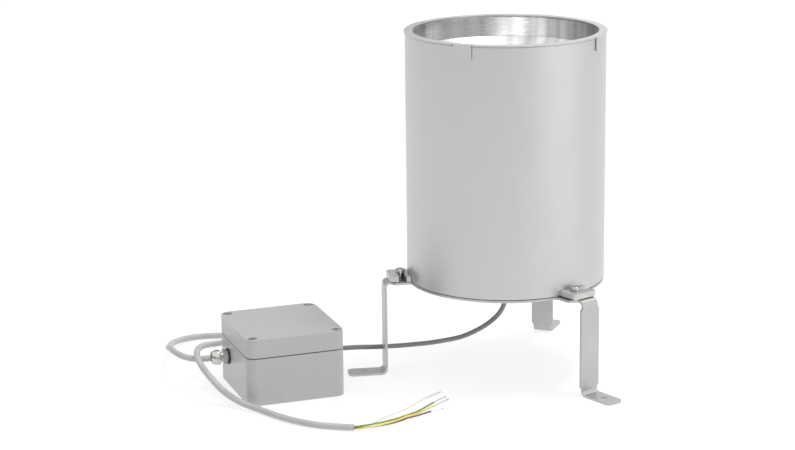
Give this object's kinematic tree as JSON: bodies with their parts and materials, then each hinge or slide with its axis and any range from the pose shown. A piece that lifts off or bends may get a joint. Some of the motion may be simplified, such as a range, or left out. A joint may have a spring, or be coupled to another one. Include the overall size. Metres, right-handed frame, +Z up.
{
  "type": "tipping-bucket rain gauge",
  "caption": "Cylindrical rain gauge on bent sheet legs, with a tipping bucket inside, a signal cable and a screwed junction box with stripped output wires.",
  "frame": {"origin": "middle of the footprint of the gauge and its junction box, on the ground they stand on; the gauge's own axis is at x 0.0788, y -0.0088", "axes": "+Z up along the gauge's axis, +X from the junction box towards the gauge, -Y towards the loose wires"},
  "size_m": [0.4027, 0.3121, 0.3005],
  "materials": {
    "silver_housing": "satin silver anodised",
    "brushed_collector": "turned and brushed",
    "stainless_sheet": "blasted sheet",
    "clamp_metal": "milled",
    "screw_steel": "polished",
    "bucket_steel": "smooth sheet",
    "magnet": "sintered, coated",
    "bush_plastic": "moulded",
    "board_green": "lacquered board",
    "glass": "clear",
    "terminal_plastic": "moulded",
    "box_paint": "glossy grey paint on die-cast metal",
    "gland_brass": "nickel-plated brass",
    "rubber_black": "matt",
    "gasket_grey": "matt",
    "cable_dark": "smooth cable jacket",
    "cable_light": "smooth cable jacket",
    "wire_white": "wire insulation",
    "wire_brown": "wire insulation",
    "wire_green": "wire insulation",
    "wire_yellow": "wire insulation"
  },
  "bodies": {
    "base": {"base_frame": "stainless_sheet", "bearing_bracket": "stainless_sheet", "pivot_bush_front": "bush_plastic", "pivot_bush_rear": "bush_plastic", "reed_board": "board_green", "reed_capsule": "glass", "stop_screw_left": "screw_steel", "stop_screw_right": "screw_steel", "stop_nut_left": "screw_steel", "stop_nut_right": "screw_steel", "drain_cup_left": "bush_plastic", "drain_cup_right": "bush_plastic", "bubble_level": "clamp_metal", "bubble_level_glass": "glass", "gauge_terminal_strip": "terminal_plastic", "base_gland_seal": "rubber_black", "base_gland_body": "gland_brass", "base_gland_nut": "gland_brass", "box_base": "box_paint", "box_gasket": "gasket_grey", "output_gland_seal": "rubber_black", "output_gland_body": "gland_brass", "output_gland_nut": "gland_brass", "input_gland_seal": "rubber_black", "input_gland_body": "gland_brass", "input_gland_nut": "gland_brass", "box_terminal_strip": "terminal_plastic", "gauge_cable": "cable_dark", "output_cable": "cable_light", "wire_white": "wire_white", "wire_green": "wire_green", "wire_yellow": "wire_yellow", "wire_brown": "wire_brown"},
    "housing": {"housing_tube": "silver_housing", "collector_ring": "silver_housing", "funnel": "brushed_collector", "debris_screen": "brushed_collector", "clamp_block_1": "clamp_metal", "clamp_block_2": "clamp_metal", "clamp_block_3": "clamp_metal", "clamp_screw_1": "screw_steel", "clamp_screw_2": "screw_steel", "clamp_screw_3": "screw_steel"},
    "bucket": {"tipping_bucket": "bucket_steel", "pivot_shaft": "screw_steel", "bucket_magnet": "magnet"},
    "lid": {"box_lid": "box_paint", "lid_screw_1": "screw_steel", "lid_screw_2": "screw_steel", "lid_screw_3": "screw_steel", "lid_screw_4": "screw_steel"}
  },
  "joints": [
    {"name": "bucket_tip", "type": "hinge", "parent": "base", "child": "bucket", "pos_m": [0.0788, -0.0088, 0.118], "axis": [0, 1, 0], "range_deg": [0, 25]},
    {"name": "housing_lift", "type": "slide", "parent": "base", "child": "housing", "axis": [0, 0, 1], "range_m": [0, 0.25]},
    {"name": "box_lid_lift", "type": "slide", "parent": "base", "child": "lid", "axis": [0, 0, 1], "range_m": [0, 0.06]}
  ]
}
